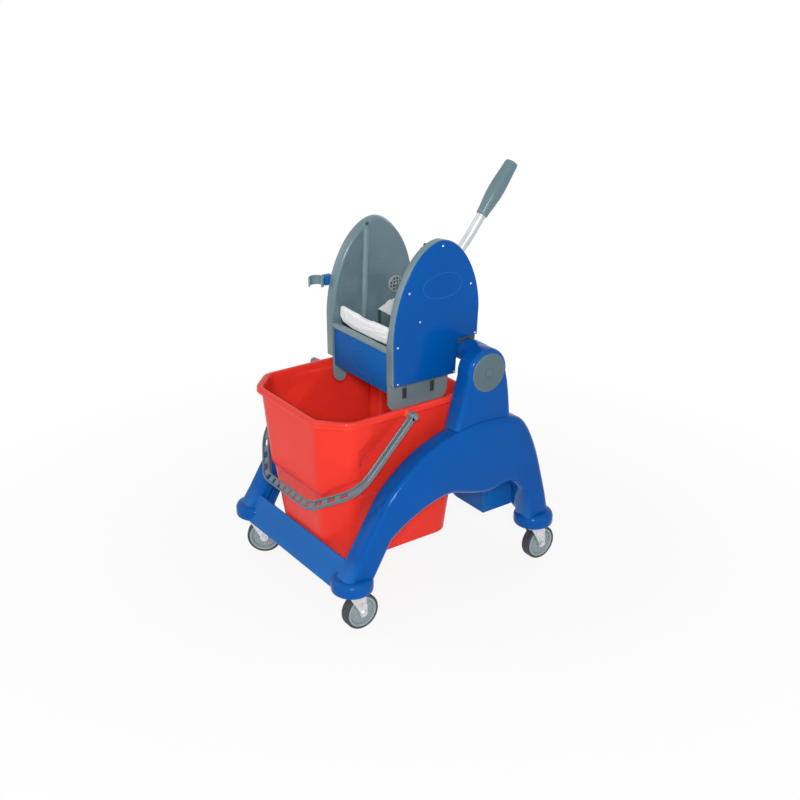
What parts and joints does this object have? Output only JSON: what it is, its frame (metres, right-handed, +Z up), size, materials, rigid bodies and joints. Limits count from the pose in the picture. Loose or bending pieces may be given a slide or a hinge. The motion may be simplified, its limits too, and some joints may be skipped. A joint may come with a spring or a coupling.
{
  "type": "mop bucket trolley",
  "caption": "Wheeled mop bucket trolley: moulded side arches on swivel casters, a lift-out chamfered bucket with a bail, and a lever press wringer hooked over a rear cross tube.",
  "frame": {"origin": "On the floor, in the middle of the four caster stems.", "axes": "X across the trolley to its right side, Y from the bucket end to the lever end, Z up."},
  "size_m": [0.496, 0.6272, 0.8901],
  "materials": {
    "blue_plastic": "moulded, satin",
    "red_plastic": "moulded, satin",
    "grey_plastic": "moulded, fine grain",
    "dark_plastic": "moulded, fine grain",
    "hub_plastic": "moulded",
    "tyre_rubber": "matte",
    "zinc_steel": "zinc plated",
    "bare_aluminium": "drawn tube",
    "white_cloth": "cotton mop cloth"
  },
  "bodies": {
    "frame": {"arch_left": "blue_plastic", "arch_right": "blue_plastic", "post_left": "blue_plastic", "post_right": "blue_plastic", "post_caps": "grey_plastic", "tube_collar_left": "blue_plastic", "tube_collar_right": "blue_plastic", "cross_tube": "blue_plastic", "front_crossbar": "blue_plastic", "rear_panel": "blue_plastic", "rear_tray": "blue_plastic", "bucket_rails": "blue_plastic", "corner_boss_fl": "blue_plastic", "corner_boss_fr": "blue_plastic", "corner_boss_rl": "blue_plastic", "corner_boss_rr": "blue_plastic", "caster_stems": "zinc_steel", "caster_races": "zinc_steel"},
    "caster_fl": {"fork_fl": "zinc_steel", "axle_fl": "zinc_steel"},
    "wheel_fl": {"wheel_hub_fl": "hub_plastic", "tyre_fl": "tyre_rubber"},
    "caster_fr": {"fork_fr": "zinc_steel", "axle_fr": "zinc_steel"},
    "wheel_fr": {"wheel_hub_fr": "hub_plastic", "tyre_fr": "tyre_rubber"},
    "caster_rl": {"fork_rl": "zinc_steel", "axle_rl": "zinc_steel"},
    "wheel_rl": {"wheel_hub_rl": "hub_plastic", "tyre_rl": "tyre_rubber"},
    "caster_rr": {"fork_rr": "zinc_steel", "axle_rr": "zinc_steel"},
    "wheel_rr": {"wheel_hub_rr": "hub_plastic", "tyre_rr": "tyre_rubber"},
    "bucket_unit": {"bucket": "red_plastic", "bail_pins": "grey_plastic"},
    "bail": {"bail_handle": "grey_plastic"},
    "wringer": {"wringer_side_left": "grey_plastic", "wringer_side_right": "grey_plastic", "wringer_cover_left": "blue_plastic", "wringer_cover_right": "blue_plastic", "cover_screws": "zinc_steel", "front_panel": "blue_plastic", "front_rail": "grey_plastic", "front_jaw": "grey_plastic", "back_panel": "grey_plastic", "drip_grid": "grey_plastic", "tube_saddles": "grey_plastic", "axle_bushes": "grey_plastic", "clip_base": "blue_plastic", "mop_clip": "grey_plastic", "mop_cloth_front": "white_cloth"},
    "lever": {"lever_axle": "zinc_steel", "lever_yoke": "dark_plastic", "press_plate": "dark_plastic", "lever_tube": "bare_aluminium", "lever_grip": "grey_plastic", "return_spring": "zinc_steel", "mop_cloth_rear": "white_cloth"}
  },
  "joints": [
    {"name": "swivel_fl", "type": "hinge", "parent": "frame", "child": "caster_fl", "pos_m": [-0.203, -0.249, 0.09], "axis": [0, 0, 1], "continuous": true},
    {"name": "wheel_spin_fl", "type": "hinge", "parent": "caster_fl", "child": "wheel_fl", "pos_m": [-0.19242, -0.23444, 0.04], "axis": [0.809, -0.5878, 0], "continuous": true},
    {"name": "swivel_fr", "type": "hinge", "parent": "frame", "child": "caster_fr", "pos_m": [0.203, -0.249, 0.09], "axis": [0, 0, 1], "continuous": true},
    {"name": "wheel_spin_fr", "type": "hinge", "parent": "caster_fr", "child": "wheel_fr", "pos_m": [0.203, -0.231, 0.04], "axis": [1, 0, 0], "continuous": true},
    {"name": "swivel_rl", "type": "hinge", "parent": "frame", "child": "caster_rl", "pos_m": [-0.203, 0.249, 0.09], "axis": [0, 0, 1], "continuous": true},
    {"name": "wheel_spin_rl", "type": "hinge", "parent": "caster_rl", "child": "wheel_rl", "pos_m": [-0.203, 0.267, 0.04], "axis": [1, 0, 0], "continuous": true},
    {"name": "swivel_rr", "type": "hinge", "parent": "frame", "child": "caster_rr", "pos_m": [0.203, 0.249, 0.09], "axis": [0, 0, 1], "continuous": true},
    {"name": "wheel_spin_rr", "type": "hinge", "parent": "caster_rr", "child": "wheel_rr", "pos_m": [0.203, 0.267, 0.04], "axis": [1, 0, 0], "continuous": true},
    {"name": "bucket_lift", "type": "slide", "parent": "frame", "child": "bucket_unit", "axis": [0, 0, 1], "range_m": [0, 0.03]},
    {"name": "bail_lift", "type": "hinge", "parent": "bucket_unit", "child": "bail", "pos_m": [0, -0.084, 0.442], "axis": [-1, 0, 0], "range_deg": [0, 110]},
    {"name": "wringer_lift", "type": "slide", "parent": "frame", "child": "wringer", "axis": [0, 0, 1], "range_m": [0, 0.15]},
    {"name": "lever_press", "type": "hinge", "parent": "wringer", "child": "lever", "pos_m": [0, 0.08, 0.619], "axis": [-1, 0, 0], "range_deg": [0, 32], "stiffness_Nm_per_rad": 2, "springref_deg": -34.38}
  ]
}
